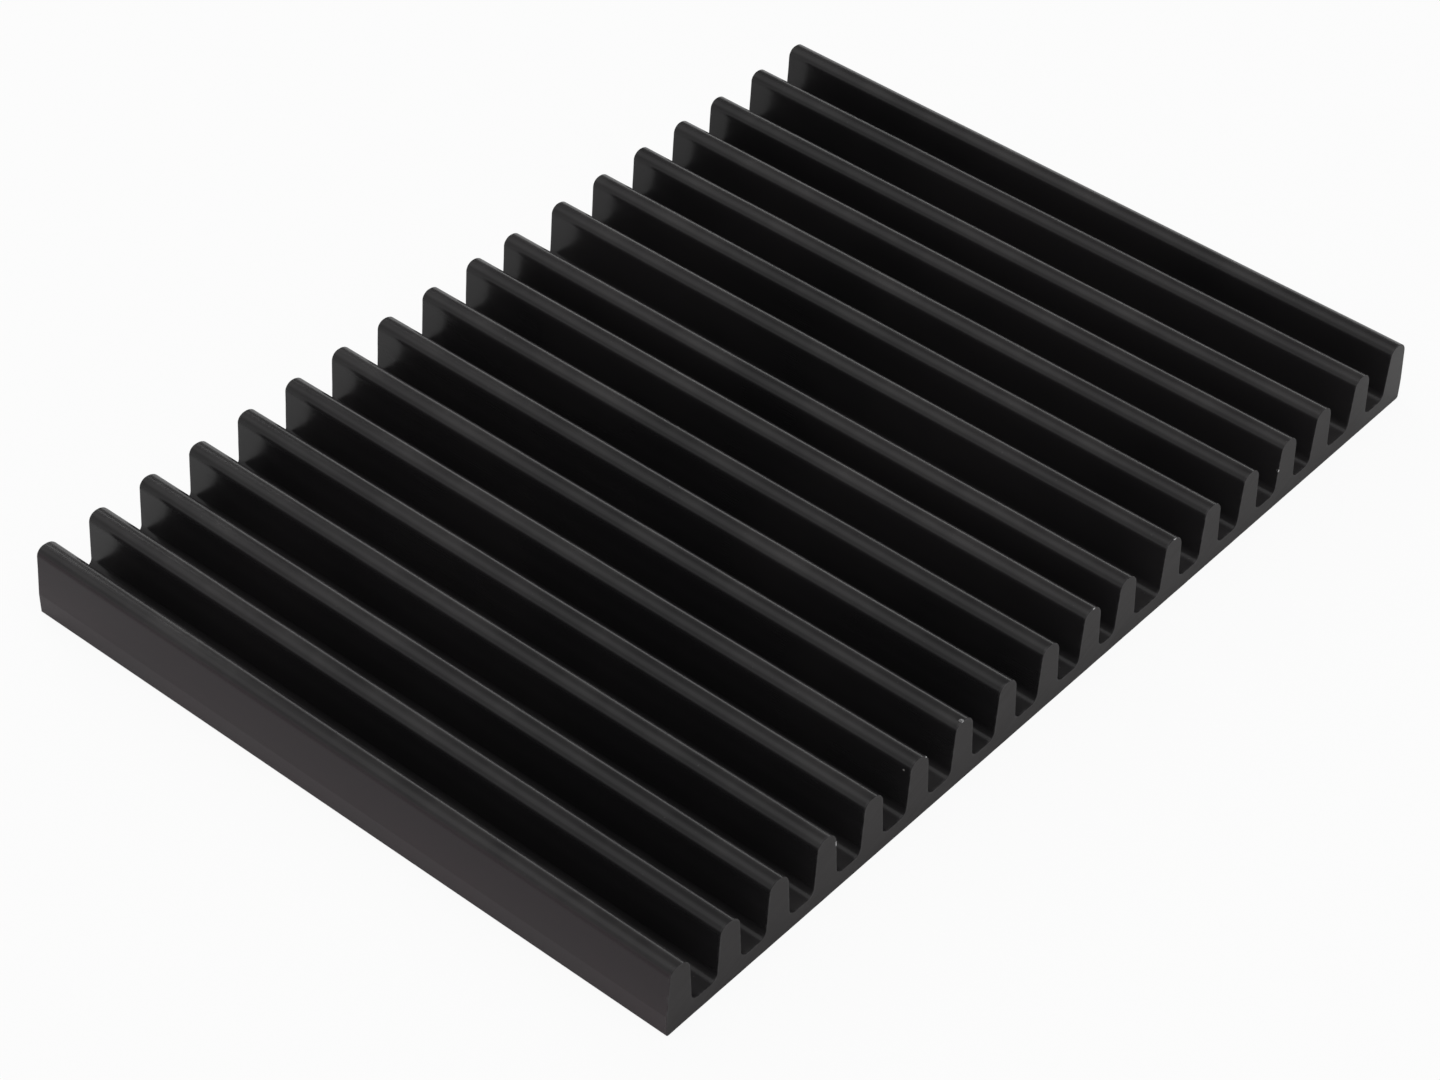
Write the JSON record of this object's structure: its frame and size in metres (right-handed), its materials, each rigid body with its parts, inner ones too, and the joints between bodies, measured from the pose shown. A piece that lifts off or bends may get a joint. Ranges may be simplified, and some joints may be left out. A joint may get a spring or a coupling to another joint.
{
  "type": "extruded heat sink",
  "caption": "Black anodised aluminium heat sink with a flat rectangular base and a row of low, straight, tapered cooling fins, cut from one extrusion.",
  "frame": {"origin": "centre of the flat underside of the base", "axes": "+X across the row of fins, +Y along the fins, +Z from the underside to the fin tips"},
  "size_m": [0.1438, 0.1, 0.01],
  "materials": {
    "black_anodised_aluminium": "satin black anodised"
  },
  "bodies": {
    "root": {"heat_sink": "black_anodised_aluminium"}
  },
  "joints": []
}
